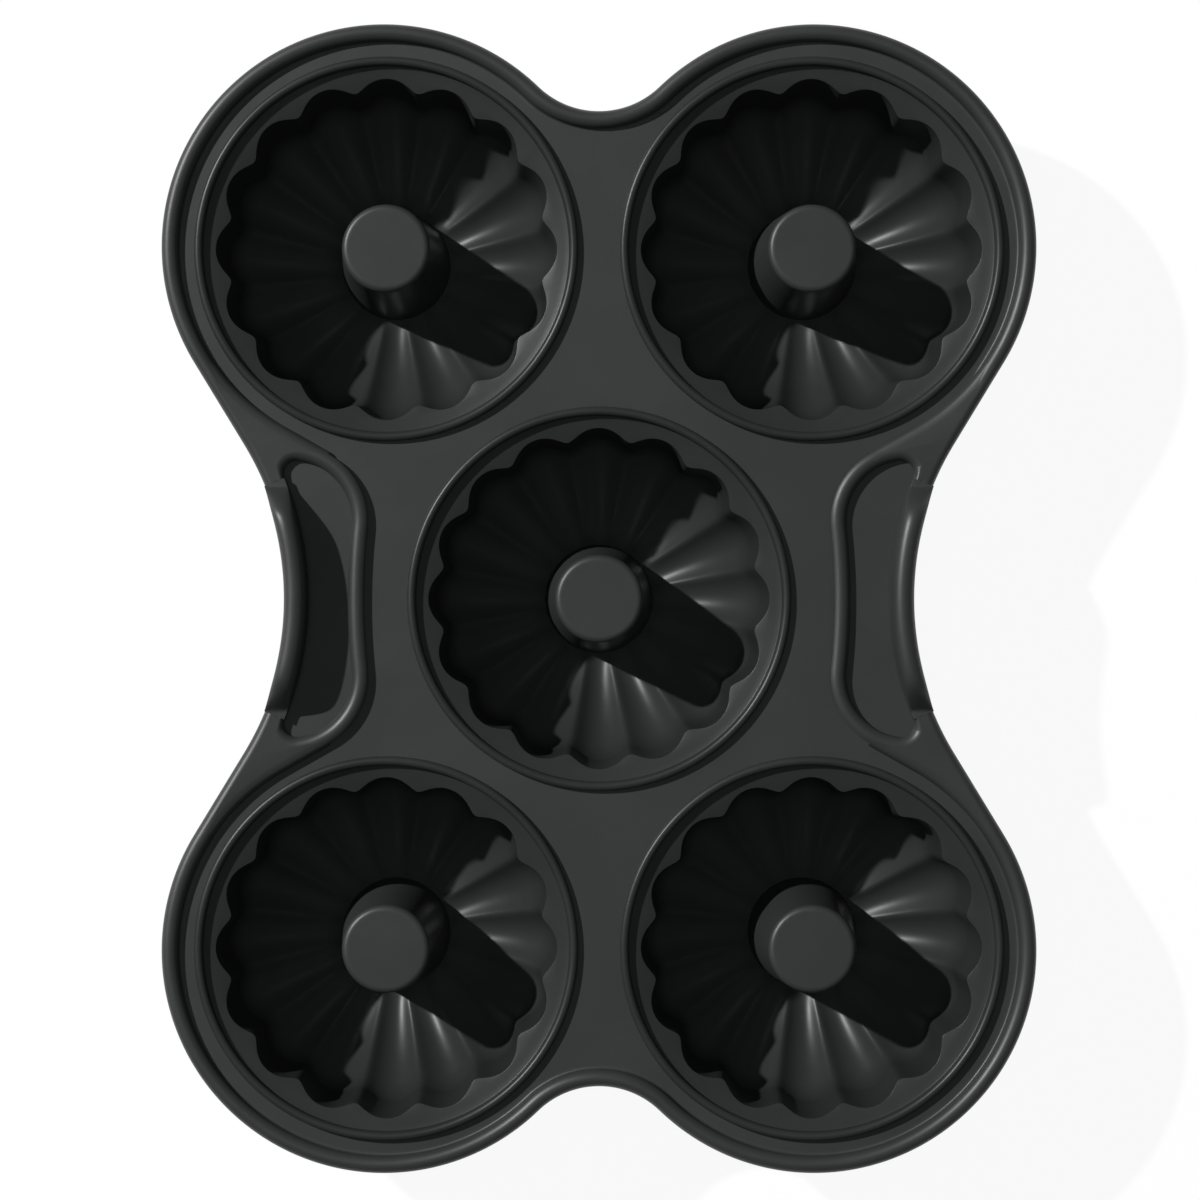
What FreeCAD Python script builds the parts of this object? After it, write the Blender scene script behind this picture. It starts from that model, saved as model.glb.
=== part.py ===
import FreeCAD, Part
import math
import os

Vector = FreeCAD.Vector
os.makedirs("parts", exist_ok=True)

# A baking pan with five fluted ring cups. Sizes are in millimetres.
# X runs across the pan, Y runs from front to back, Z is up and the pan stands on Z = 0.

# Cups: a round mouth with flutes, a steep wall, a rounded corner and a curved floor falling to the middle.
cup_mouth_radius = 46.2
cup_depth = 43.5
cup_sheet = 0.7
flute_count = 16
flute_depth = 3.2
wall_draft = math.radians(3.5)
corner_radius = 13.0
bend_slope = math.radians(45.0)
floor_slope = math.radians(12.0)
profile_steps = 14
floor_ring_width = 0.6

# Centre tubes: hollow tapered posts with a flat top and a flange at the foot.
tube_top_radius = 11.9
tube_rise = 3.0
tube_foot_radius = 15.2
tube_sheet = 0.7
tube_edge_radius = 1.6
tube_clearance = 0.25
flange_width = 2.6

# Seam between a cup and the tray: a ledge that falls inward and an edge folded over an upturned hem.
ledge_width = 3.3
ledge_slope = math.radians(13.0)
seam_leg = 1.05
hem_clearance = 0.1

# Tray: a flat sheet with a rolled edge that holds a wire. Straight runs join the waist to the lobes.
tray_sheet = 0.8
roll_radius = 2.3
roll_drop = 0.4
wire_clearance = 0.15
rim_land = 3.6
rim_shift = 0.55
side_cup_gap = 11.2
middle_cup_gap = 6.8
end_hollow_radius = 23.5
waist_hollow_radius = 80.0
waist_straight_length = 26.0

# Handle grips: a rounded ridge round a kidney-shaped pocket and a tall hollow lip at the edge.
grip_gap = 10.0
ridge_width = 4.8
ridge_height = 2.4
pocket_shoulder_radius = 16.5
pocket_end_radius = 3.5
shoulder_half_spacing = 21.0
ridge_middle_radius = 180.0
shoulder_end = math.pi / 4
web_inset = 0.3
lip_height = 13.0
lip_sheet = 0.9
lip_clearance = 0.3
lip_half_length = 32.5
lip_end_run = 8.5
lip_corner_radius = 4.0

# Heights that follow from the sizes above.
floor_top = tube_sheet + cup_sheet
tray_top = floor_top + cup_depth
roll_height = tray_top - roll_drop

# Places that follow from the sizes above.
hem_half_width = tray_sheet / 2
seam_radius = hem_half_width + hem_clearance + cup_sheet
seam_foot = cup_mouth_radius + ledge_width
seam_centre = seam_foot + seam_radius
seam_outside = seam_centre + seam_radius
cup_x = seam_outside + side_cup_gap / 2
cup_y = math.sqrt((2 * seam_outside + middle_cup_gap) ** 2 - cup_x ** 2)
rim_x = cup_x + rim_shift
rim_y = cup_y + rim_shift
lobe_radius = seam_outside + rim_land + 2 * roll_radius
end_hollow_y = rim_y + math.sqrt((lobe_radius + end_hollow_radius) ** 2 - rim_x ** 2)
waist_span = lobe_radius + waist_hollow_radius
waist_hollow_x = rim_x + math.sqrt(waist_span ** 2 + waist_straight_length ** 2 - rim_y ** 2)
floor_radius = tube_foot_radius + tube_clearance + floor_ring_width

CUP_PLACES = {
    "back_left": (-cup_x, cup_y),
    "back_right": (cup_x, cup_y),
    "centre": (0.0, 0.0),
    "front_left": (-cup_x, -cup_y),
    "front_right": (cup_x, -cup_y),
}


def face_of(edges):
    """Flat face inside a closed chain of edges."""
    return Part.Face(Part.Wire(edges))


def line(start, end):
    return Part.LineSegment(start, end).toShape()


def arc(start, middle, end):
    return Part.Arc(start, middle, end).toShape()


def section(r, z):
    """Point of an upright section: r from the turning axis, z up."""
    return Vector(r, 0, z)


def chain(points):
    """Straight edges from each point to the next."""
    return [line(points[i], points[i + 1]) for i in range(len(points) - 1)]


def turned(face):
    """Solid of revolution of an upright section about the Z axis."""
    return face.revolve(Vector(0, 0, 0), Vector(0, 0, 1), 360)


def polar(centre, radius, angle):
    return Vector(centre[0] + radius * math.cos(angle), centre[1] + radius * math.sin(angle), 0)


def heading(start, end):
    return math.atan2(end[1] - start[1], end[0] - start[0])


def rim_arcs():
    """Arcs of the tray outline, anticlockwise: centre, radius, side, first and last angle.

    Side is 1 where the arc bulges outward and -1 where it is hollow.
    """
    right_top = (rim_x, rim_y)
    top = (0.0, end_hollow_y)
    right = (waist_hollow_x, 0.0)
    to_top = heading(right_top, top)
    to_right = heading(right_top, right) + math.atan2(waist_straight_length, waist_span)
    from_top = heading(top, right_top)
    from_right = to_right + math.pi
    half = [
        (right_top, lobe_radius, 1, to_right, to_top),
        (top, end_hollow_radius, -1, from_top, -math.pi - from_top),
        ((-rim_x, rim_y), lobe_radius, 1, math.pi - to_top, math.pi - to_right),
        ((-waist_hollow_x, 0.0), waist_hollow_radius, -1, math.pi - from_right, from_right - math.pi),
    ]
    other = []
    for centre, radius, side, first, last in half:
        turned_centre = (-centre[0], -centre[1])
        other.append((turned_centre, radius, side, first + math.pi, last + math.pi))
    return half + other


def rim_straights(inset):
    """Start and end of each straight run between a lobe and a waist hollow of the outline."""
    runs = []
    arcs = rim_arcs()
    for index, (centre, radius, side, first, last) in enumerate(arcs):
        next_centre, next_radius, next_side, next_first, next_last = arcs[(index + 1) % len(arcs)]
        if waist_hollow_radius in (radius, next_radius):
            start = polar(centre, radius - side * inset, last)
            runs.append((start, polar(next_centre, next_radius - next_side * inset, next_first)))
    return runs


def outline_face(inset):
    """Flat face inside the tray outline, drawn in by the given amount."""
    edges = []
    for centre, radius, side, first, last in rim_arcs():
        inset_radius = radius - side * inset
        points = [polar(centre, inset_radius, a) for a in (first, (first + last) / 2, last)]
        edges.append(arc(*points))
    edges += [line(start, end) for start, end in rim_straights(inset)]
    return face_of(Part.__sortEdges__(edges))


def along_rim(radius_inside, inset):
    """Round bar of the given radius that follows the tray outline at the height of the roll."""
    bars = []
    for centre, radius, side, first, last in rim_arcs():
        ring = Part.Circle(section(radius - side * inset, roll_height), Vector(0, 1, 0), radius_inside)
        face = Part.Face(Part.Wire(ring.toShape()))
        low = min(first, last)
        bar = face.revolve(Vector(0, 0, 0), Vector(0, 0, 1), math.degrees(abs(last - first)))
        bar.rotate(Vector(0, 0, 0), Vector(0, 0, 1), math.degrees(low))
        bar.translate(Vector(centre[0], centre[1], 0))
        bars.append(bar)
    for start, end in rim_straights(inset):
        run = end - start
        bars.append(Part.makeCylinder(radius_inside, run.Length, start + Vector(0, 0, roll_height), run))
    return bars[0].multiFuse(bars[1:]).removeSplitter()


def tray_frame():
    plate = outline_face(2 * roll_radius - tray_sheet / 2).extrude(Vector(0, 0, tray_sheet))
    plate.translate(Vector(0, 0, tray_top - tray_sheet))
    tray_bottom = tray_top - tray_sheet
    hem_top = tray_top + seam_leg
    hem_inside = seam_centre - hem_half_width
    hem_outside = seam_centre + hem_half_width
    crown = section(seam_centre, hem_top + hem_half_width)
    points = [
        section(hem_inside, hem_top),
        section(hem_inside, tray_bottom),
        section(hem_outside, tray_bottom),
        section(hem_outside, hem_top),
    ]
    hem = turned(face_of(chain(points) + [arc(points[-1], crown, points[0])]))
    hole = Part.makeCylinder(seam_centre, 2 * tray_sheet, Vector(0, 0, tray_bottom - hem_half_width))
    holes = [hole.translated(Vector(x, y, 0)) for x, y in CUP_PLACES.values()]
    hems = [hem.translated(Vector(x, y, 0)) for x, y in CUP_PLACES.values()]
    roll = along_rim(roll_radius, roll_radius)
    bore = along_rim(roll_radius - tray_sheet, roll_radius)
    return plate.cut(holes).multiFuse(hems + [roll]).cut(bore).removeSplitter()


def rim_wire():
    return along_rim(roll_radius - tray_sheet - wire_clearance, roll_radius)


def cup_profile():
    """Evenly spaced stations down the inside of a flute: radius, depth and tilt of the surface.

    The tilt is 0 on an upright wall and a quarter turn on a level floor.
    """
    draft = math.tan(wall_draft)
    corner_out = math.cos(wall_draft) - math.sin(bend_slope)
    corner_rise = math.cos(bend_slope) - math.sin(wall_draft)
    floor_out = math.sin(bend_slope) - math.sin(floor_slope)
    floor_rise = math.cos(floor_slope) - math.cos(bend_slope)
    room = cup_mouth_radius - floor_radius - draft * cup_depth
    room -= corner_radius * (corner_out - draft * corner_rise)
    bow_radius = room / (floor_out - draft * floor_rise)
    wall_depth = cup_depth - corner_radius * corner_rise - bow_radius * floor_rise
    wall_radius = cup_mouth_radius - wall_depth * draft
    bend_radius = floor_radius + bow_radius * floor_out
    bend_depth = cup_depth - bow_radius * floor_rise
    wall_length = wall_depth / math.cos(wall_draft)
    corner_length = corner_radius * (math.pi / 2 - bend_slope - wall_draft)
    floor_length = bow_radius * (bend_slope - floor_slope)
    stations = []
    for index in range(1, profile_steps):
        way = (wall_length + corner_length + floor_length) * index / profile_steps
        if way < wall_length:
            depth = way * math.cos(wall_draft)
            stations.append((cup_mouth_radius - depth * draft, depth, wall_draft))
        elif way < wall_length + corner_length:
            tilt = wall_draft + (way - wall_length) / corner_radius
            radius = wall_radius - corner_radius * (math.cos(wall_draft) - math.cos(tilt))
            depth = wall_depth + corner_radius * (math.sin(tilt) - math.sin(wall_draft))
            stations.append((radius, depth, tilt))
        else:
            tilt = math.pi / 2 - bend_slope + (way - wall_length - corner_length) / bow_radius
            radius = bend_radius - bow_radius * (math.sin(bend_slope) - math.cos(tilt))
            depth = bend_depth + bow_radius * (math.sin(tilt) - math.cos(bend_slope))
            stations.append((radius, depth, tilt))
    return stations


def flute_wire(lobe_radius_here, lobe_height, ridge_radius, ridge_height_here):
    """Closed ring of arcs: each flute runs from ridge to ridge through its own middle."""
    edges = []
    step = 2 * math.pi / flute_count
    for index in range(flute_count):
        middle = index * step
        points = []
        for radius, height, angle in (
            (ridge_radius, ridge_height_here, middle - step / 2),
            (lobe_radius_here, lobe_height, middle),
            (ridge_radius, ridge_height_here, middle + step / 2),
        ):
            points.append(Vector(radius * math.cos(angle), radius * math.sin(angle), height))
        edges.append(arc(*points))
    return Part.Wire(edges)


def fluted_body(skin, top):
    """Solid with the fluted cup shape, grown outward by the skin, closed at the given height."""
    rise = top - tray_top
    mouth = cup_mouth_radius + rise * math.tan(wall_draft) + skin
    wires = [flute_wire(mouth, top, mouth - flute_depth, top)]
    for radius, depth, tilt in cup_profile():
        share = math.sqrt((radius - floor_radius) / (cup_mouth_radius - floor_radius))
        inward = flute_depth * share
        wires.append(flute_wire(
            radius + skin * math.cos(tilt),
            tray_top - depth - skin * math.sin(tilt),
            radius - (inward - skin) * math.cos(tilt),
            tray_top - depth + (inward - skin) * math.sin(tilt),
        ))
    foot = floor_top - skin
    wires.append(flute_wire(floor_radius, foot, floor_radius, foot))
    return Part.makeLoft(wires, True, False)


def cup():
    fold_top = tray_top + seam_leg
    inner_leg = seam_foot + cup_sheet
    outer_leg = seam_outside - cup_sheet
    ledge_bottom = tray_top - cup_sheet
    fall = seam_foot * math.tan(ledge_slope)
    under = [
        section(0, ledge_bottom - fall),
        section(seam_foot, ledge_bottom),
        section(inner_leg, ledge_bottom),
        section(inner_leg, fold_top),
    ]
    leg = [
        section(outer_leg, fold_top),
        section(outer_leg, tray_top),
        section(seam_outside, tray_top),
        section(seam_outside, fold_top),
    ]
    over = [
        section(seam_foot, fold_top),
        section(seam_foot, tray_top),
        section(0, tray_top - fall),
        under[0],
    ]
    fold_inside = arc(under[-1], section(seam_centre, fold_top + seam_radius - cup_sheet), leg[0])
    fold_outside = arc(leg[-1], section(seam_centre, fold_top + seam_radius), over[0])
    rim = turned(face_of(chain(under) + [fold_inside] + chain(leg) + [fold_outside] + chain(over)))
    above = turned(face_of(chain([over[2], over[1], section(0, tray_top), over[2]])))
    outside = fluted_body(cup_sheet, tray_top - cup_sheet / 2).cut(above)
    inside = fluted_body(0.0, tray_top + cup_sheet)
    floor_hole = Part.makeCylinder(tube_foot_radius + tube_clearance, 2 * floor_top)
    return rim.fuse(outside).cut(inside).cut(floor_hole)


def centre_tube():
    tube_top = tray_top + tube_rise
    lean = (tube_foot_radius - tube_top_radius) / (tube_top - tube_sheet)
    shoulder_radius = tube_top_radius + lean * tube_edge_radius
    flange_radius = tube_foot_radius + flange_width
    bend = tube_edge_radius * (1 - math.sqrt(0.5))
    inner_top = tube_top_radius - tube_sheet
    points = [
        section(shoulder_radius, tube_top - tube_edge_radius),
        section(tube_foot_radius, tube_sheet),
        section(flange_radius, tube_sheet),
        section(flange_radius, 0),
        section(tube_foot_radius - tube_sheet, 0),
        section(inner_top, tube_top - tube_sheet),
        section(0, tube_top - tube_sheet),
        section(0, tube_top),
        section(shoulder_radius - tube_edge_radius, tube_top),
    ]
    edge = arc(points[-1], section(shoulder_radius - bend, tube_top - bend), points[0])
    return turned(face_of(chain(points) + [edge]))


def ring_sector(centre, face, first, last):
    """Upright section turned about a standing axis between two angles."""
    body = face.revolve(Vector(0, 0, 0), Vector(0, 0, 1), math.degrees(last - first))
    body.rotate(Vector(0, 0, 0), Vector(0, 0, 1), math.degrees(first))
    body.translate(Vector(centre[0], centre[1], 0))
    return body


def ridge_section(near):
    """Rounded ridge that lies on the tray, starting at the given radius."""
    far = near + ridge_width
    crown = section((near + far) / 2, tray_top + ridge_height)
    start = section(near, tray_top)
    end = section(far, tray_top)
    return face_of([arc(start, crown, end), line(end, start)])


def strip_section(near, far, height):
    """Low upright strip that stands on the tray between two radii."""
    points = [section(near, tray_top), section(far, tray_top)]
    points += [section(far, tray_top + height), section(near, tray_top + height)]
    return face_of(chain(points + points[:1]))


def lip_section(skin):
    """Upright lip with a round top, drawn in by the given skin."""
    near = waist_hollow_radius + skin
    far = waist_hollow_radius + 2 * roll_radius + lip_clearance + lip_sheet - skin
    crown = tray_top + lip_height - skin
    shoulder = crown - (far - near) / 2
    points = [section(near, shoulder), section(near, tray_top)]
    points += [section(far, tray_top), section(far, shoulder)]
    return face_of(chain(points) + [arc(points[-1], section((near + far) / 2, crown), points[0])])


def lip_side(skin):
    """Side view of the lip: a straight top with sloping ends, drawn in by the given skin."""
    foot = lip_half_length - skin
    top = lip_half_length - lip_end_run - skin
    high = tray_top + lip_height - skin
    slope = Vector(0, top - foot, lip_height).normalize()
    near_top = Vector(0, top, high) - slope * lip_corner_radius
    on_top = Vector(0, top - lip_corner_radius, high)
    middle = ((near_top + on_top) / 2 + Vector(0, top, high)) / 2
    outline = [
        line(Vector(0, -foot, tray_top), Vector(0, foot, tray_top)),
        line(Vector(0, foot, tray_top), near_top),
        arc(near_top, middle, on_top),
    ]
    flip = Vector(0, 1, 0)
    other = [edge.mirror(Vector(0, 0, 0), flip) for edge in outline[1:]]
    across = line(on_top, Vector(0, -on_top.y, high))
    face = face_of(outline + [across] + other)
    return face.extrude(Vector(waist_hollow_x, 0, 0))


def right_handle_grip():
    ridge_outside = seam_outside + grip_gap
    shoulder_outside = pocket_shoulder_radius + ridge_width
    shoulder_x = ridge_outside + shoulder_outside
    waist = (waist_hollow_x, 0.0)
    bow_span = ridge_middle_radius + shoulder_outside
    middle_x = shoulder_x - math.sqrt(bow_span ** 2 - shoulder_half_spacing ** 2)
    middle = (middle_x, 0.0)
    upper = (shoulder_x, shoulder_half_spacing)
    wall = waist_hollow_radius + 2 * roll_radius + lip_clearance

    # The round end of the pocket touches the shoulder arc and the inner face of the lip.
    lip_face = wall + lip_sheet
    to_waist = lip_face + pocket_end_radius
    to_upper = pocket_shoulder_radius - pocket_end_radius
    span = math.hypot(waist[0] - upper[0], waist[1] - upper[1])
    along = (to_waist ** 2 - to_upper ** 2 + span ** 2) / (2 * span)
    turn = math.acos(along / to_waist)
    end_angle = heading(waist, upper) - turn
    end = (waist[0] + to_waist * math.cos(end_angle), waist[1] + to_waist * math.sin(end_angle))

    # Ridge along the inner side, round the shoulder and on to the rim.
    join = heading(middle, upper)
    side_bow = ring_sector(middle, ridge_section(ridge_middle_radius), -join, join)
    shoulder_start = heading(upper, end)
    shoulder_far = math.pi + join
    shoulder = ring_sector(upper, ridge_section(pocket_shoulder_radius), shoulder_end, shoulder_far)
    end_cap = ring_sector(end, ridge_section(pocket_end_radius), heading(end, waist), shoulder_start)
    crest = ridge_width / 2
    web_outside = pocket_shoulder_radius + crest - web_inset
    web_inside = pocket_end_radius + crest + web_inset
    web = Part.makeCylinder(web_outside, ridge_height, Vector(*upper, tray_top))
    web = web.cut(Part.makeCylinder(web_inside, ridge_height, Vector(*end, tray_top)))
    rim_side = Part.makeCylinder(wall, 2 * lip_height, Vector(*waist, tray_top - lip_height))
    web = max(web.cut(rim_side).Solids, key=lambda body: body.CenterOfMass.y)
    corner = shoulder.fuse([end_cap, web]).cut(rim_side)
    other_corner = corner.mirror(Vector(0, 0, 0), Vector(0, 1, 0))

    # Hollow lip that stands over the roll with its inner leg on the tray.
    reach = math.asin((end[1] + pocket_end_radius) / lip_face)
    lip = ring_sector(waist, lip_section(0), math.pi - reach, math.pi + reach).common(lip_side(0))
    hollow = ring_sector(waist, lip_section(lip_sheet), math.pi - reach, math.pi + reach)
    hollow = hollow.common(lip_side(lip_sheet))
    slot_top = roll_height + roll_radius + lip_clearance
    slot = Part.makeCylinder(wall, slot_top, Vector(*waist, 0))
    lip = lip.cut([hollow, slot])
    strip = strip_section(wall, lip_face, ridge_height / 2)
    foot = ring_sector(waist, strip, math.pi - reach, math.pi + reach)
    return side_bow.multiFuse([corner, other_corner, lip, foot]).removeSplitter()


def save(shape, name):
    shape.exportStep(os.path.join("parts", name + ".step"))


save(tray_frame(), "tray_frame")
save(rim_wire(), "rim_wire")
grip = right_handle_grip()
save(grip, "right_handle_grip")
save(grip.mirror(Vector(0, 0, 0), Vector(1, 0, 0)), "left_handle_grip")
one_cup = cup()
one_tube = centre_tube()
for place, (x, y) in CUP_PLACES.items():
    save(one_cup.translated(Vector(x, y, 0)), "cup_" + place)
    save(one_tube.translated(Vector(x, y, 0)), "centre_tube_" + place)
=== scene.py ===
import bmesh
import bpy
import math
from mathutils import Matrix, Vector


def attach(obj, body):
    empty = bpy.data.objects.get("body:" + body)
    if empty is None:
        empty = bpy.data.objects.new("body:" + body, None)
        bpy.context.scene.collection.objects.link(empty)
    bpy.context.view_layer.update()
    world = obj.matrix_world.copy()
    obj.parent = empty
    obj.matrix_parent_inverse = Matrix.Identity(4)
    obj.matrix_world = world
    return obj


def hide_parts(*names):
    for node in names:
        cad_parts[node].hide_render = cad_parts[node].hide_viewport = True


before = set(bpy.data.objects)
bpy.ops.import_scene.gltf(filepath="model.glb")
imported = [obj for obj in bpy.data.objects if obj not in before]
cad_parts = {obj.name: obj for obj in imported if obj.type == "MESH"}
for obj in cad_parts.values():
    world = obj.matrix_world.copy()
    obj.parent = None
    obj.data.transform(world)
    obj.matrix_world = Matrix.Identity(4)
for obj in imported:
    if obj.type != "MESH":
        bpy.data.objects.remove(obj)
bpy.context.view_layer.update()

# Sizes of the pan in millimetres. They are the solid model's, apart from RIDGE_HEIGHT: the photo's
# shadows ask for a handle ridge and a rolled edge that stand a little higher.
MOUTH = 46.2
CUP_DEPTH = 43.5
CUP_SHEET = 0.7
FLUTES = 16
FLUTE_DEPTH = 3.2
DRAFT = math.radians(3.5)
CORNER = 13.0
BEND = math.radians(45.0)
FALL = math.radians(12.0)
FLOOR_RING = 0.6
TUBE_TOP = 11.9
TUBE_RISE = 3.0
TUBE_FOOT = 15.2
TUBE_SHEET = 0.7
TUBE_EDGE = 1.6
TUBE_GAP = 0.25
FLANGE_WIDTH = 2.6
LEDGE_WIDTH = 3.3
LEDGE_SLOPE = math.radians(13.0)
SEAM_LEG = 1.05
SEAM_BEAD = 1.2
TRAY_SHEET = 0.8
ROLL = 2.3
ROLL_DROP = 0.4
RIM_LAND = 3.6
RIM_SHIFT = 0.55
SIDE_CUP_GAP = 11.2
MIDDLE_CUP_GAP = 6.8
END_HOLLOW = 23.5
WAIST_HOLLOW = 80.0
STRAIGHT = 26.0
GRIP_GAP = 10.0
RIDGE_WIDTH = 4.8
RIDGE_HEIGHT = 3.1
RIDGE_BOW = 180.0
SHOULDER = 16.5
SHOULDER_Y = 21.0
POCKET_END = 3.5
LIP_HEIGHT = 13.0
LIP_SHEET = 0.9
LIP_GAP = 0.3
LIP_HALF_LENGTH = 32.5
LIP_END_RUN = 8.5

# Sizes that follow from these.
FLOOR_RADIUS = TUBE_FOOT + TUBE_GAP + FLOOR_RING
FLANGE = TUBE_FOOT + FLANGE_WIDTH
SEAM_FOOT = MOUTH + LEDGE_WIDTH
SEAM_CENTRE = SEAM_FOOT + SEAM_BEAD
SEAM_OUTSIDE = SEAM_CENTRE + SEAM_BEAD
FLOOR_TOP = TUBE_SHEET + CUP_SHEET
TRAY_TOP = FLOOR_TOP + CUP_DEPTH
ROLL_HEIGHT = TRAY_TOP - ROLL_DROP
LOBE = SEAM_OUTSIDE + RIM_LAND + 2 * ROLL
CUP_X = SEAM_OUTSIDE + SIDE_CUP_GAP / 2
CUP_Y = math.sqrt((2 * SEAM_OUTSIDE + MIDDLE_CUP_GAP) ** 2 - CUP_X ** 2)
RIDGE_LEVEL = TRAY_TOP + RIDGE_HEIGHT
RIDGE_BALL = ((RIDGE_WIDTH / 2) ** 2 + RIDGE_HEIGHT ** 2) / (2 * RIDGE_HEIGHT)
RIDGE_HALF_TURN = math.degrees(math.asin(RIDGE_WIDTH / 2 / RIDGE_BALL))
SHOULDER_OUT = SHOULDER + RIDGE_WIDTH
LIP_WALL = WAIST_HOLLOW + 2 * ROLL + LIP_GAP
LIP_FACE = LIP_WALL + LIP_SHEET
PLACES = {
    "back_left": (-CUP_X, CUP_Y),
    "back_right": (CUP_X, CUP_Y),
    "centre": (0.0, 0.0),
    "front_left": (-CUP_X, -CUP_Y),
    "front_right": (CUP_X, -CUP_Y),
}
UP = Vector((0, 0, 1))


def heading(start, end):
    return math.atan2(end[1] - start[1], end[0] - start[0])


# Centres of the circles in the plan's back right quarter: the rim's three, and then the handle's.
LOBE_CENTRE = (CUP_X + RIM_SHIFT, CUP_Y + RIM_SHIFT)
END_CENTRE = (0.0, LOBE_CENTRE[1] + math.sqrt((LOBE + END_HOLLOW) ** 2 - LOBE_CENTRE[0] ** 2))
WAIST_REACH_SQUARED = (LOBE + WAIST_HOLLOW) ** 2 + STRAIGHT ** 2
WAIST = (LOBE_CENTRE[0] + math.sqrt(WAIST_REACH_SQUARED - LOBE_CENTRE[1] ** 2), 0.0)
RIM_TURN = heading(LOBE_CENTRE, WAIST) + math.atan2(STRAIGHT, LOBE + WAIST_HOLLOW)
SHOULDER_CENTRE = (SEAM_OUTSIDE + GRIP_GAP + SHOULDER_OUT, SHOULDER_Y)
BOW_CENTRE = (SHOULDER_CENTRE[0] - math.sqrt((RIDGE_BOW + SHOULDER_OUT) ** 2 - SHOULDER_Y ** 2), 0.0)


def pocket_end():
    """Direction from the waist and centre of the pocket's round end, which touches lip and shoulder."""
    to_waist = LIP_FACE + POCKET_END
    to_shoulder = SHOULDER - POCKET_END
    span = math.dist(WAIST, SHOULDER_CENTRE)
    along = (to_waist ** 2 - to_shoulder ** 2 + span ** 2) / (2 * span)
    angle = heading(WAIST, SHOULDER_CENTRE) - math.acos(along / to_waist)
    return angle, (WAIST[0] + to_waist * math.cos(angle), WAIST[1] + to_waist * math.sin(angle))


POCKET_ANGLE, POCKET_CENTRE = pocket_end()
TURN_IN = heading(SHOULDER_CENTRE, POCKET_CENTRE)
TURN_OUT = heading(POCKET_CENTRE, WAIST)


def linear(hex_text):
    """sRGB hex to a linear colour."""
    parts = [int(hex_text[i:i + 2], 16) / 255 for i in (1, 3, 5)]
    return tuple(c / 12.92 if c <= 0.04045 else ((c + 0.055) / 1.055) ** 2.4 for c in parts) + (1.0,)


def add(tree, kind, inputs=None, **settings):
    """Adds a node with its settings, plain values and links."""
    made = tree.nodes.new(kind)
    for name, value in settings.items():
        setattr(made, name, value)
    for name, value in (inputs or {}).items():
        if isinstance(value, bpy.types.NodeSocket):
            tree.links.new(value, made.inputs[name])
        else:
            made.inputs[name].default_value = value
    return made


def per_metre(millimetres):
    """Texture scale for a pattern of that size, on coordinates in metres."""
    return 1000.0 / millimetres


class SectionLine:
    """A line drawn in the upright plane through X, with r along X and z up."""

    def __init__(self, bm, r, z):
        self.bm = bm
        self.last = bm.verts.new((r, 0, z))

    def run(self, r, z, pieces=1):
        """Straight on to a point, in equal pieces."""
        start = self.last.co.copy()
        end = Vector((r, 0, z))
        for index in range(pieces):
            made = bmesh.ops.extrude_vert_indiv(self.bm, verts=[self.last])["verts"][0]
            made.co = start.lerp(end, (index + 1) / pieces)
            self.last = made

    def swing(self, r, z, degrees, steps):
        """Along an arc about a point, anticlockwise with r to the right and z up."""
        turned = bmesh.ops.spin(
            self.bm, geom=[self.last], cent=(r, 0, z), axis=(0, 1, 0), angle=-math.radians(degrees),
            steps=steps)
        self.last = verts_of(turned["geom_last"])[0]

    def close(self):
        """Back to the first point with a straight edge."""
        self.bm.verts.ensure_lookup_table()
        return self.bm.edges.new((self.last, self.bm.verts[0]))


def verts_of(geom):
    return [part for part in geom if isinstance(part, bmesh.types.BMVert)]


def edges_of(geom):
    return [part for part in geom if isinstance(part, bmesh.types.BMEdge)]


def everything(bm):
    return bm.verts[:] + bm.edges[:] + bm.faces[:]


def turn_to(bm, centre, angle):
    """Takes a section drawn along X to its angle round a centre."""
    bmesh.ops.rotate(bm, verts=bm.verts[:], cent=(0, 0, 0), matrix=Matrix.Rotation(angle, 3, "Z"))
    bmesh.ops.translate(bm, verts=bm.verts[:], vec=(centre[0], centre[1], 0))


def sweep(bm, geom, centre, angle, steps):
    """Swings geometry about an upright axis and gives back its last copy."""
    return bmesh.ops.spin(
        bm, geom=geom, cent=(centre[0], centre[1], 0), axis=(0, 0, 1), angle=angle, steps=steps)["geom_last"]


def tangent(angle, length):
    """The way on, clockwise, from a point at that angle on a circle."""
    return length * math.sin(angle), -length * math.cos(angle)


def straight(bm, geom, angle, length):
    """Draws geometry out along the tangent at an angle and gives back its last copy."""
    made = bmesh.ops.extrude_edge_only(bm, edges=edges_of(geom))["geom"]
    verts = verts_of(made)
    bmesh.ops.translate(bm, verts=verts, vec=(*tangent(angle, length), 0))
    moved = set(verts)
    return verts + [edge for edge in edges_of(made) if moved.issuperset(edge.verts)]


def full_turn(bm, steps):
    """Spins everything drawn so far once round the Z axis."""
    bmesh.ops.spin(
        bm, geom=bm.verts[:] + bm.edges[:], cent=(0, 0, 0), axis=(0, 0, 1), angle=2 * math.pi, steps=steps,
        use_merge=True)


def arc_angles(start, stop, steps):
    return [start + (stop - start) * step / steps for step in range(steps + 1)]


def arc_points(centre, radius, start, stop, steps):
    return [(centre[0] + radius * math.cos(angle), centre[1] + radius * math.sin(angle))
            for angle in arc_angles(start, stop, steps)]


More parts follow.
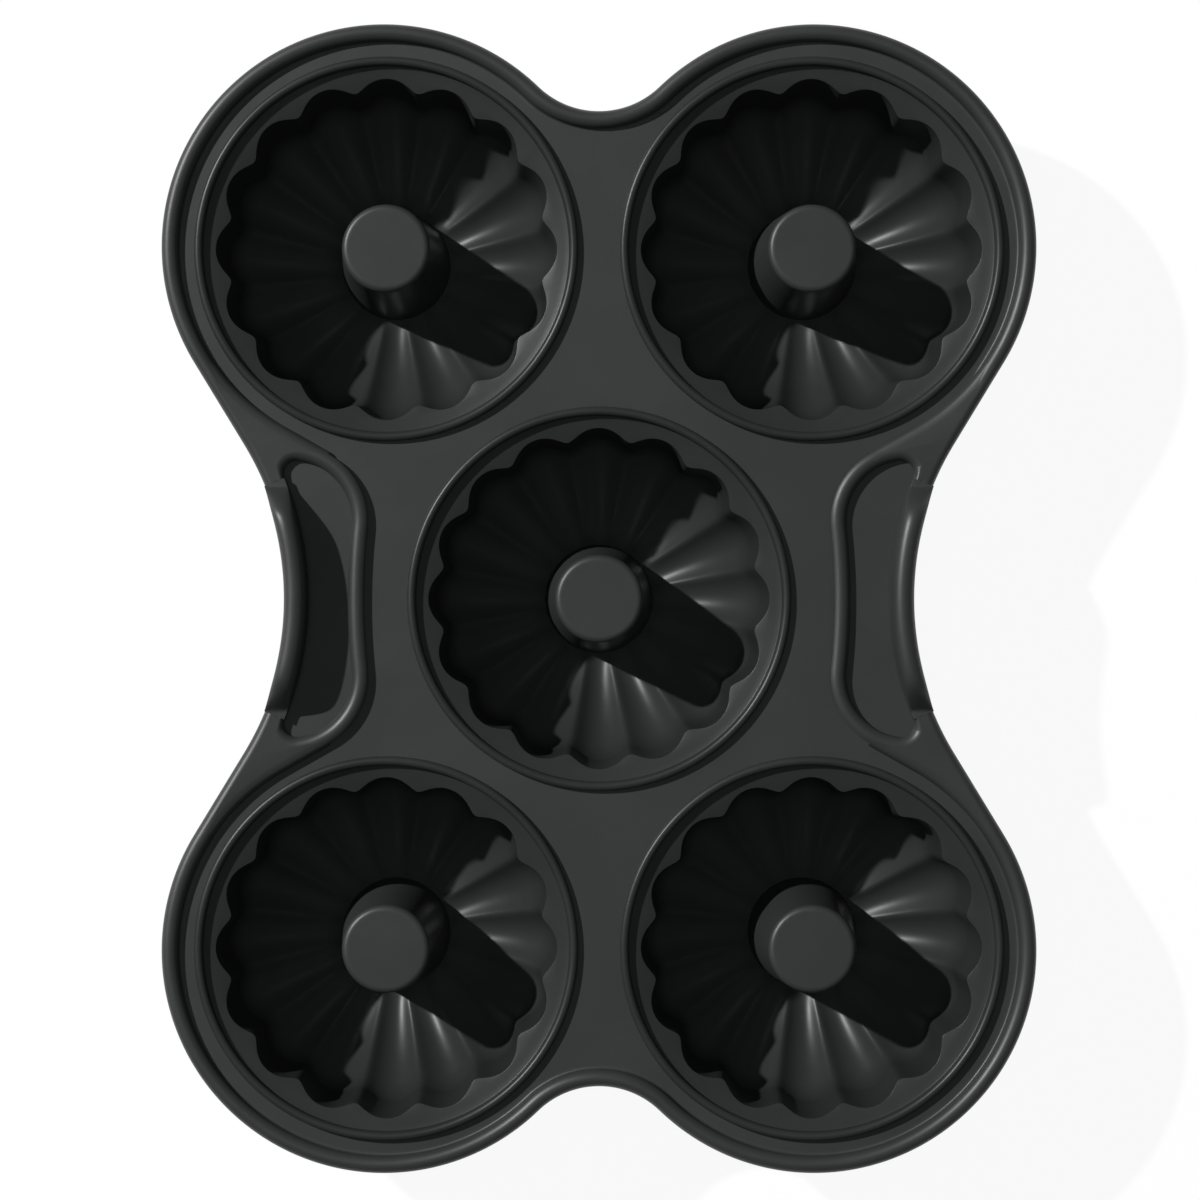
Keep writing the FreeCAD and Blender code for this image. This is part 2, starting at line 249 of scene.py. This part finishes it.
def settle(bm, upward):
    """Merges doubles and turns the faces outward, or upward on an open sheet."""
    bmesh.ops.remove_doubles(bm, verts=bm.verts[:], dist=0.002)
    bmesh.ops.recalc_face_normals(bm, faces=bm.faces[:])
    if upward and sum(face.normal.z * face.calc_area() for face in bm.faces) < 0:
        bmesh.ops.reverse_faces(bm, faces=bm.faces[:])


def piece(name, bm, node, material, sheet=0.0, sharp=40.0):
    """Makes the object from a drawing in millimetres, with the sheet's thickness below its top face."""
    copy = bm.copy()
    bmesh.ops.scale(copy, vec=(0.001, 0.001, 0.001), verts=copy.verts[:])
    mesh = bpy.data.meshes.new(name)
    copy.to_mesh(mesh)
    copy.free()
    made = bpy.data.objects.new(name, mesh)
    bpy.context.scene.collection.objects.link(made)
    if sheet:
        wall = made.modifiers.new("sheet", "SOLIDIFY")
        wall.thickness = sheet / 1000
        wall.offset = -1.0
        bpy.context.view_layer.update()
        shaped = made.evaluated_get(bpy.context.evaluated_depsgraph_get())
        thick = bpy.data.meshes.new_from_object(shaped)
        made.modifiers.clear()
        made.data = thick
        thick.name = name
    made.data.shade_smooth()
    made.data.set_sharp_from_angle(angle=math.radians(sharp))
    made.data.materials.clear()
    made.data.materials.append(material)
    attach(made, "root")
    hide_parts(node)


def piece_per_cup(name, bm, node, material, **settings):
    """Repeats a piece drawn round the Z axis at each of the five cups."""
    for place, (x, y) in PLACES.items():
        bmesh.ops.translate(bm, verts=bm.verts[:], vec=(x, y, 0))
        piece(name + place, bm, node + place, material, **settings)
        bmesh.ops.translate(bm, verts=bm.verts[:], vec=(-x, -y, 0))


def new_material(name):
    """A fresh material with its nodes, its shader and the object's own coordinates."""
    material = bpy.data.materials.new(name)
    material.use_nodes = True
    tree = material.node_tree
    place = add(tree, "ShaderNodeTexCoord").outputs["Object"]
    return material, tree, tree.nodes["Principled BSDF"], place


# Non-stick coating, sprayed on pressed steel and baked: a near-black charcoal resin film with a satin
# gloss, a faint orange peel from the spray and very fine mica flecks.
def nonstick_coating(name, dark, light, bright, rough_low, shine):
    material, tree, shader, place = new_material(name)
    cloud = add(tree, "ShaderNodeTexNoise", {"Vector": place, "Scale": per_metre(26.0), "Detail": 3.0})
    tone = add(tree, "ShaderNodeValToRGB", {"Fac": cloud.outputs["Fac"]})
    tone.color_ramp.elements[0].position = 0.32
    tone.color_ramp.elements[0].color = linear(dark)
    tone.color_ramp.elements[1].position = 0.68
    tone.color_ramp.elements[1].color = linear(light)
    # Mica flecks are some 0.05 mm wide; they are drawn 0.5 mm apart so that they show at all.
    flecks = add(tree, "ShaderNodeTexVoronoi", {"Vector": place, "Scale": per_metre(0.5)})
    fleck = add(tree, "ShaderNodeMapRange", {
        "Value": flecks.outputs["Distance"], "From Min": 0.05, "From Max": 0.22, "To Min": 0.22,
        "To Max": 0.0})
    colour = add(tree, "ShaderNodeMix", {"Factor": fleck.outputs["Result"], "A": tone.outputs["Color"],
                                         "B": linear(bright)}, data_type="RGBA")
    tree.links.new(colour.outputs["Result"], shader.inputs["Base Color"])
    gloss = add(tree, "ShaderNodeTexNoise", {"Vector": place, "Scale": per_metre(7.0), "Detail": 4.0})
    rough = add(tree, "ShaderNodeMapRange", {
        "Value": gloss.outputs["Fac"], "From Min": 0.3, "From Max": 0.7, "To Min": rough_low,
        "To Max": rough_low + 0.04})
    tree.links.new(rough.outputs["Result"], shader.inputs["Roughness"])
    peel = add(tree, "ShaderNodeTexNoise", {"Vector": place, "Scale": per_metre(1.6), "Detail": 2.0})
    bump = add(tree, "ShaderNodeBump", {
        "Height": peel.outputs["Fac"], "Strength": 0.25, "Distance": 0.00005})
    tree.links.new(bump.outputs["Normal"], shader.inputs["Normal"])
    shader.inputs["IOR"].default_value = 1.45
    shader.inputs["Specular IOR Level"].default_value = shine
    return material


# Drawn steel wire: bare bright metal, a little uneven, closed in by the roll.
def drawn_wire():
    material, tree, shader, place = new_material("drawn_steel_wire")
    grain = add(tree, "ShaderNodeTexNoise", {"Vector": place, "Scale": per_metre(0.8), "Detail": 5.0})
    tone = add(tree, "ShaderNodeValToRGB", {"Fac": grain.outputs["Fac"]})
    tone.color_ramp.elements[0].color = linear("#9c9b98")
    tone.color_ramp.elements[1].color = linear("#c4c3bf")
    tree.links.new(tone.outputs["Color"], shader.inputs["Base Color"])
    rough = add(tree, "ShaderNodeMapRange", {"Value": grain.outputs["Fac"], "To Min": 0.28, "To Max": 0.4})
    tree.links.new(rough.outputs["Result"], shader.inputs["Roughness"])
    shader.inputs["Metallic"].default_value = 1.0
    return material


# Matt white table board: it shows as a white ground and still takes the pan's shadow.
def white_ground():
    material, tree, shader, place = new_material("matt_white_board")
    grain = add(tree, "ShaderNodeTexNoise", {"Vector": place, "Scale": per_metre(3.0), "Detail": 2.0})
    tone = add(tree, "ShaderNodeValToRGB", {"Fac": grain.outputs["Fac"]})
    tone.color_ramp.elements[0].color = linear("#f4f4f4")
    tone.color_ramp.elements[1].color = linear("#fafafa")
    tree.links.new(tone.outputs["Color"], shader.inputs["Base Color"])
    shader.inputs["Roughness"].default_value = 0.9
    glow = add(tree, "ShaderNodeEmission", {"Color": (1.0, 1.0, 1.0, 1.0), "Strength": 1.0})
    glow_share = 0.92
    path = add(tree, "ShaderNodeLightPath")
    seen = path.outputs["Is Camera Ray"]
    for ray in ("Is Glossy Ray", "Is Transmission Ray"):
        seen = add(tree, "ShaderNodeMath", {0: seen, 1: path.outputs[ray]}, operation="MAXIMUM").outputs[0]
    share = add(tree, "ShaderNodeMath", {0: seen, 1: glow_share}, operation="MULTIPLY")
    both = add(tree, "ShaderNodeMixShader", {0: share.outputs[0], 1: shader.outputs[0], 2: glow.outputs[0]})
    tree.links.new(both.outputs[0], tree.nodes["Material Output"].inputs["Surface"])
    return material


coating = nonstick_coating(
    "charcoal_nonstick_coating", "#2c2e2d", "#303231", "#3a3c3b", rough_low=0.42, shine=0.5)
# The cups' colour is a little darker than the tray's, as painted shade inside the cups; their sheen is
# narrower and weaker.
cup_coating = nonstick_coating(
    "cup_coating_darkened_for_painted_shade", "#262827", "#2a2c2b", "#343635", rough_low=0.36, shine=0.28)


# Tray: one sheet, flat in the middle, rolled at the edge and turned up round each cup hole.
def tray():
    bm = bmesh.new()
    # The sheet turns up through a small groove, over an upright crown and round under the wire. It keeps
    # a hair inside the solid's outline.
    groove = 0.7
    hair = 0.03
    roll = ROLL - hair
    roll_r = LOBE - ROLL
    groove_r = roll_r - roll - groove
    crown = RIDGE_LEVEL - roll
    line = SectionLine(bm, groove_r - 1.5, TRAY_TOP)
    line.run(groove_r - 0.6, TRAY_TOP)
    line.run(groove_r, TRAY_TOP)
    line.swing(groove_r, TRAY_TOP + groove, 90, 6)
    line.run(roll_r - roll, crown)
    line.swing(roll_r, crown, -180, 24)
    line.run(roll_r + roll, ROLL_HEIGHT)
    line.swing(roll_r, ROLL_HEIGHT, -155, 14)
    # A quarter of the edge, from the middle of the back end to the middle of the waist, and its mirrors.
    turn_to(bm, LOBE_CENTRE, RIM_TURN)
    section = bm.verts[:] + bm.edges[:]
    to_end = heading(LOBE_CENTRE, END_CENTRE)
    last = sweep(bm, section, LOBE_CENTRE, to_end - RIM_TURN, 110)
    sweep(bm, last, END_CENTRE, math.pi / 2 - to_end, 20)
    last = straight(bm, section, RIM_TURN, STRAIGHT)
    sweep(bm, last, WAIST, -RIM_TURN, 30)
    for axis in "XY":
        bmesh.ops.mirror(bm, geom=everything(bm), axis=axis, merge_dist=0.02)
    # Upturned edge of one hole, repeated at each cup.
    hem = bmesh.new()
    hem_r = SEAM_CENTRE + TRAY_SHEET / 2
    hem_bend = 0.1
    hem_width = 1.0
    line = SectionLine(hem, hem_r + hem_width, TRAY_TOP)
    line.run(hem_r + hem_bend, TRAY_TOP)
    line.swing(hem_r + hem_bend, TRAY_TOP + hem_bend, -90, 3)
    line.run(hem_r, TRAY_TOP + SEAM_LEG)
    full_turn(hem, 128)
    hem_mesh = bpy.data.meshes.new("hem")
    for x, y in PLACES.values():
        bmesh.ops.translate(hem, verts=hem.verts[:], vec=(x, y, 0))
        hem.to_mesh(hem_mesh)
        bm.from_mesh(hem_mesh)
        bmesh.ops.translate(hem, verts=hem.verts[:], vec=(-x, -y, 0))
    hem.free()
    bpy.data.meshes.remove(hem_mesh)
    rims = [edge for edge in bm.edges if edge.is_boundary
            and all(abs(vert.co.z - TRAY_TOP) < 0.001 for vert in edge.verts)]
    bmesh.ops.triangle_fill(bm, use_beauty=True, edges=rims, normal=UP)
    settle(bm, True)
    piece("tray_sheet", bm, "tray_frame", coating, sheet=TRAY_SHEET)
    bm.free()


def flute_share(angle):
    """0 along the middle of a flute and 1 on the rounded ridge between two flutes."""
    half = math.pi / FLUTES
    soft = math.radians(2.0)
    bow = ((MOUTH - FLUTE_DEPTH) * math.sin(half)) ** 2
    rise = MOUTH - (MOUTH - FLUTE_DEPTH) * math.cos(half)
    radius = (bow + rise ** 2) / (2 * rise)
    centre = MOUTH - radius

    def reach(off):
        return MOUTH - centre * math.cos(off) - math.sqrt(radius ** 2 - (centre * math.sin(off)) ** 2)

    off = abs((angle + half) % (2 * half) - half)
    return reach(half - math.hypot(half - off, soft)) / reach(half - soft)


# Cups: drawn sheet with the folded seam, the ledge, the fluted wall and the falling floor.
def cups():
    # Section of a flute: a steep wall, a rounded corner, a curved floor and a plain ring falling to the post.
    ring_fall = 0.2
    floor_depth = CUP_DEPTH - ring_fall
    draft = math.tan(DRAFT)
    corner_out = math.cos(DRAFT) - math.sin(BEND)
    corner_rise = math.cos(BEND) - math.sin(DRAFT)
    floor_out = math.sin(BEND) - math.sin(FALL)
    floor_rise = math.cos(FALL) - math.cos(BEND)
    room = MOUTH - FLOOR_RADIUS - draft * floor_depth - CORNER * (corner_out - draft * corner_rise)
    bow = room / (floor_out - draft * floor_rise)
    bend_r = FLOOR_RADIUS + bow * floor_out
    bend_depth = floor_depth - bow * floor_rise
    wall_depth = bend_depth - CORNER * corner_rise
    wall_r = MOUTH - wall_depth * draft
    corner_r = wall_r - CORNER * math.cos(DRAFT)
    corner_depth = wall_depth - CORNER * math.sin(DRAFT)
    bow_r = bend_r - bow * math.sin(BEND)
    bow_depth = bend_depth - bow * math.cos(BEND)
    # The ledge falls inward from the seam and turns down over a small radius at the mouth.
    sink = math.tan(LEDGE_SLOPE)
    foot = 0.35
    edge = 0.15
    border = 0.1
    turn = math.pi / 2 - LEDGE_SLOPE - DRAFT
    mouth_depth = (SEAM_FOOT - MOUTH) * sink / (1 - sink * draft)
    edge_r = MOUTH - mouth_depth * draft + edge * math.tan(turn / 2) * math.cos(LEDGE_SLOPE)
    edge_z = TRAY_TOP - (SEAM_FOOT - edge_r) * sink
    foot_z = TRAY_TOP + foot / math.cos(LEDGE_SLOPE) - foot * sink
    bm = bmesh.new()
    line = SectionLine(bm, SEAM_OUTSIDE, TRAY_TOP)
    line.run(SEAM_OUTSIDE, TRAY_TOP + SEAM_LEG, 2)
    line.swing(SEAM_CENTRE, TRAY_TOP + SEAM_LEG, 180, 20)
    line.run(SEAM_FOOT, foot_z, 2)
    line.swing(SEAM_FOOT - foot, foot_z, -90 + math.degrees(LEDGE_SLOPE), 5)
    line.run(edge_r + border, edge_z + border * sink, 2)
    line.run(edge_r, edge_z)
    line.swing(
        edge_r + edge * math.sin(LEDGE_SLOPE), edge_z - edge * math.cos(LEDGE_SLOPE), math.degrees(turn), 4)
    line.run(wall_r, TRAY_TOP - wall_depth, 7)
    line.swing(corner_r, TRAY_TOP - corner_depth, math.degrees(DRAFT + BEND) - 90, 14)
    line.swing(bow_r, TRAY_TOP - bow_depth, math.degrees(FALL - BEND), 26)
    line.run(TUBE_FOOT + TUBE_GAP, FLOOR_TOP)
    full_turn(bm, FLUTES * 20)
    # The ridges between the flutes are pushed in, along the ledge at the mouth and square to the wall
    # further down.
    blend_depth = 8.0
    for vert in bm.verts:
        r = math.hypot(vert.co.x, vert.co.y)
        depth = TRAY_TOP - vert.co.z
        if r > edge_r + 0.01 or r < FLOOR_RADIUS:
            continue
        near_top = max(1.0 - (depth - mouth_depth) / blend_depth, 0.0)
        if depth < bend_depth:
            tilt = max(math.atan2(depth - corner_depth, r - corner_r), DRAFT)
        else:
            tilt = math.atan2(depth - bow_depth, r - bow_r)
        tilt *= 1.0 - min(near_top, 1.0)
        share = math.sqrt(min((r - FLOOR_RADIUS) / (MOUTH - FLOOR_RADIUS), 1.0))
        angle = math.atan2(vert.co.y, vert.co.x)
        inward = FLUTE_DEPTH * share * flute_share(angle)
        vert.co += inward * Vector((-math.cos(angle) * math.cos(tilt), -math.sin(angle) * math.cos(tilt),
                                    math.sin(tilt) - sink * near_top))
    settle(bm, True)
    piece_per_cup("fluted_cup_", bm, "cup_", cup_coating, sheet=CUP_SHEET, sharp=50.0)
    bm.free()


# Centre tubes: drawn hollow posts with a rounded top edge and a flange under the cup floor.
def tubes():
    top = TRAY_TOP + TUBE_RISE
    slope = math.atan((TUBE_FOOT - TUBE_TOP) / (top - TUBE_SHEET))
    bend = 0.25
    top_border = 0.4
    flange_border = 0.3
    bm = bmesh.new()
    line = SectionLine(bm, 0, top)
    line.run(TUBE_TOP - TUBE_EDGE - top_border, top, 3)
    line.run(TUBE_TOP - TUBE_EDGE, top)
    line.swing(TUBE_TOP - TUBE_EDGE, top - TUBE_EDGE, -90 + math.degrees(slope), 8)
    line.run(TUBE_FOOT, TUBE_SHEET + bend, 12)
    line.swing(TUBE_FOOT + bend, TUBE_SHEET + bend, 90, 4)
    line.run(FLANGE - flange_border, TUBE_SHEET, 2)
    line.run(FLANGE, TUBE_SHEET)
    full_turn(bm, 144)
    settle(bm, True)
    piece_per_cup("centre_post_", bm, "centre_tube_", coating, sheet=TUBE_SHEET)
    bm.free()


def ridge_share(direction):
    """How much of the ridge's width fits between the pocket's round end and the rolled rim."""
    stop = WAIST_HOLLOW + 1.5 * ROLL
    off = Vector((POCKET_CENTRE[0] - WAIST[0], POCKET_CENTRE[1] - WAIST[1]))
    ahead = direction.dot(off)
    under = ahead ** 2 - off.length_squared + stop ** 2
    if under < 0 or ahead > 0:
        return 1.0
    return min(1.0, (-ahead - math.sqrt(under) - POCKET_END) / RIDGE_WIDTH)


# Handle ridge: half of it runs from the middle of the inner side round to the middle of the lip.
def handle_ridge():
    bm = bmesh.new()
    near = BOW_CENTRE[0] + RIDGE_BOW + RIDGE_WIDTH
    line = SectionLine(bm, near, TRAY_TOP)
    line.swing(near - RIDGE_WIDTH / 2, RIDGE_LEVEL - RIDGE_BALL, 2 * RIDGE_HALF_TURN, 16)
    base = line.close()
    bmesh.ops.subdivide_edges(bm, edges=[base], cuts=7)
    join = heading(BOW_CENTRE, SHOULDER_CENTRE)
    last = sweep(bm, bm.verts[:] + bm.edges[:], BOW_CENTRE, join, 12)
    last = sweep(bm, last, SHOULDER_CENTRE, TURN_IN - math.pi - join, 44)
    known = set(bm.verts)
    last = sweep(bm, last, POCKET_CENTRE, TURN_OUT - TURN_IN, 56)
    for vert in bm.verts:
        if vert in known:
            continue
        off = Vector((vert.co.x - POCKET_CENTRE[0], vert.co.y - POCKET_CENTRE[1]))
        direction = off.normalized()
        far = POCKET_END + (off.length - POCKET_END) * ridge_share(direction)
        vert.co.x = POCKET_CENTRE[0] + direction.x * far
        vert.co.y = POCKET_CENTRE[1] + direction.y * far
    sweep(bm, last, WAIST, math.pi - heading(WAIST, POCKET_CENTRE), 36)
    bmesh.ops.mirror(bm, geom=everything(bm), axis="Y", merge_dist=0.002)
    settle(bm, False)
    return bm


# Raised corner: the outer slope of the ridge runs on round the cup, and a flat joins it to the rim.
def handle_corner():
    bm = bmesh.new()
    foot = LOBE - 2 * ROLL
    crest = foot + RIDGE_WIDTH / 2
    border = 0.4
    clear_angle = 0.05
    begin = RIM_TURN - clear_angle
    # The slope leaves the lobe's circle on a straight run that touches the circle of the shoulder.
    reach = math.dist(LOBE_CENTRE, SHOULDER_CENTRE)
    leave = heading(LOBE_CENTRE, SHOULDER_CENTRE) + math.acos((foot + SHOULDER_OUT) / reach)
    length = math.sqrt(reach ** 2 - (foot + SHOULDER_OUT) ** 2)
    # Near the ridge the flat would be narrower than its border, so it stops short.
    ridge_middle = SHOULDER_OUT - RIDGE_WIDTH / 2
    spare = 1.2
    short = math.sqrt(2 * spare * ridge_middle * border)
    line = SectionLine(bm, foot, TRAY_TOP)
    line.swing(crest, RIDGE_LEVEL - RIDGE_BALL, -RIDGE_HALF_TURN, 8)
    line.run(crest + border, RIDGE_LEVEL)
    turn_to(bm, LOBE_CENTRE, begin)
    last = sweep(bm, bm.verts[:] + bm.edges[:], LOBE_CENTRE, leave - begin, 30)
    last = straight(bm, last, leave, length - short)
    straight(bm, last, leave, short)
    # The flat follows the slope, the middle of the ridge, the pocket's end and the crown of the rim.
    outline = arc_points(LOBE_CENTRE, crest + border, begin, leave, 30)
    step_x, step_y = tangent(leave, length - short)
    outline.append((outline[-1][0] + step_x, outline[-1][1] + step_y))
    meet = leave + math.pi - math.atan2(short, ridge_middle)
    outline += arc_points(SHOULDER_CENTRE, ridge_middle, meet, TURN_IN, 24)
    for angle in arc_angles(TURN_IN, TURN_OUT, 30)[1:]:
        direction = Vector((math.cos(angle), math.sin(angle)))
        far = POCKET_END + ridge_share(direction) * RIDGE_WIDTH / 2
        outline.append((POCKET_CENTRE[0] + direction.x * far, POCKET_CENTRE[1] + direction.y * far))
    outline += arc_points(WAIST, WAIST_HOLLOW + ROLL, POCKET_ANGLE, RIM_TURN + math.pi, 20)
    verts = [bm.verts.new((x, y, RIDGE_LEVEL)) for x, y in outline]
    edges = [bm.edges.new((verts[index - 1], verts[index])) for index in range(len(verts))]
    bmesh.ops.triangle_fill(bm, use_beauty=False, edges=edges, normal=UP)
    bmesh.ops.mirror(bm, geom=everything(bm), axis="Y", merge_dist=0.0002)
    settle(bm, True)
    return bm


# Handle lip: a round-topped wall swept along the waist, lower towards its ends.
def handle_lip():
    bm = bmesh.new()
    sunk = 0.2
    end_rise = 0.25
    slot = RIDGE_LEVEL - sunk
    end_height = slot - TRAY_TOP + end_rise
    wall = WAIST[0] - LIP_WALL
    left = WAIST[0] - LIP_FACE
    right = WAIST[0] - WAIST_HOLLOW
    crown = (right - left) / 2
    top = TRAY_TOP + LIP_HEIGHT
    line = SectionLine(bm, wall, TRAY_TOP)
    line.run(wall, slot)
    line.run(right, slot, 5)
    line.run(right, top - crown, 10)
    line.swing(left + crown, top - crown, 180, 16)
    line.run(left, TRAY_TOP + 0.4, 10)
    line.run(left, TRAY_TOP)
    line.close()
    swing = math.asin(LIP_HALF_LENGTH / LIP_FACE)
    bmesh.ops.rotate(bm, verts=bm.verts[:], cent=(WAIST[0], 0, 0), matrix=Matrix.Rotation(-swing, 3, "Z"))
    first = bm.edges[:]
    last = sweep(bm, bm.verts[:] + first, WAIST, 2 * swing, 120)
    bmesh.ops.edgeloop_fill(bm, edges=first)
    bmesh.ops.edgeloop_fill(bm, edges=edges_of(last))
    full_height_to = LIP_HALF_LENGTH - LIP_END_RUN
    round_off = 3.0
    for vert in bm.verts:
        if vert.co.z <= slot + 0.001:
            continue
        past = abs(vert.co.y) - full_height_to
        soft = (past + math.sqrt(past ** 2 + round_off ** 2)) / 2
        height = max(LIP_HEIGHT * (1 - soft / LIP_END_RUN), end_height)
        vert.co.z = slot + (vert.co.z - slot) * (TRAY_TOP + height - slot) / (top - slot)
    settle(bm, False)
    return bm


# Handles: a ridge round a kidney-shaped pocket, raised corners, and a tall lip over the rolled rim.
def handles():
    corner_sheet = 0.6
    drawings = (
        ("_handle_ridge", handle_ridge(), 0.0),
        ("_handle_corner", handle_corner(), corner_sheet),
        ("_handle_lip", handle_lip(), 0.0),
    )
    for side in ("right", "left"):
        for name, bm, sheet in drawings:
            if side == "left":
                bmesh.ops.scale(bm, vec=(-1, 1, 1), verts=bm.verts[:])
                bmesh.ops.reverse_faces(bm, faces=bm.faces[:])
            piece(side + name, bm, side + "_handle_grip", coating, sheet=sheet)
    for name, bm, sheet in drawings:
        bm.free()


tray()
cups()
tubes()
handles()

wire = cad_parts["rim_wire"]
wire.data.materials.clear()
wire.data.materials.append(drawn_wire())


# Floor: a wide white board under the pan.
def floor():
    bm = bmesh.new()
    bmesh.ops.create_grid(bm, x_segments=8, y_segments=8, size=4.0)
    mesh = bpy.data.meshes.new("white_board")
    bm.to_mesh(mesh)
    bm.free()
    board = bpy.data.objects.new("white_board", mesh)
    bpy.context.scene.collection.objects.link(board)
    mesh.materials.append(white_ground())


floor()

# Camera straight above the pan, as far away as the lean of the posts shows.
DISTANCE = 0.857
HALF_VIEW = 0.1622
camera_data = bpy.data.cameras.new("camera")
camera_data.sensor_width = 36.0
camera_data.lens = camera_data.sensor_width / 2 * DISTANCE / HALF_VIEW
camera_data.shift_x = 0.0008
camera_data.shift_y = -0.0011
camera = bpy.data.objects.new("camera", camera_data)
camera.location = (0.0, 0.0, TRAY_TOP / 1000 + DISTANCE)
bpy.context.scene.collection.objects.link(camera)
bpy.context.scene.camera = camera

# One key lamp from the back left, four metres away and 41 degrees up.
KEY_DISTANCE = 4.0
KEY_RISE = math.radians(41.0)
KEY_SIDE = (-0.857, 0.515)
key_data = bpy.data.lights.new("key", "POINT")
key_data.energy = 780.0
key_data.shadow_soft_size = 0.05
key = bpy.data.objects.new("key", key_data)
key_flat = [part * math.cos(KEY_RISE) for part in KEY_SIDE]
key.location = KEY_DISTANCE * Vector((*key_flat, math.sin(KEY_RISE)))
bpy.context.scene.collection.objects.link(key)

# A soft lamp straight above lightens the shadows inside the cups and shows in no reflection.
above_data = bpy.data.lights.new("above", "AREA")
above_data.energy = 6.1
above_data.size = 0.5
above = bpy.data.objects.new("above", above_data)
above.location = (0.0, 0.0, 1.6)
above.visible_glossy = False
bpy.context.scene.collection.objects.link(above)

# The surroundings are dim for the pan and white for the camera.
world = bpy.data.worlds.new("studio")
world.use_nodes = True
bpy.context.scene.world = world
sky = world.node_tree
fill = sky.nodes["Background"]
fill.inputs["Color"].default_value = (1.0, 1.0, 1.0, 1.0)
seen = add(sky, "ShaderNodeLightPath").outputs["Is Camera Ray"]
strength = add(sky, "ShaderNodeMapRange", {"Value": seen, "To Min": 0.06, "To Max": 1.0})
sky.links.new(strength.outputs["Result"], fill.inputs["Strength"])

bpy.context.scene.view_settings.view_transform = "Standard"
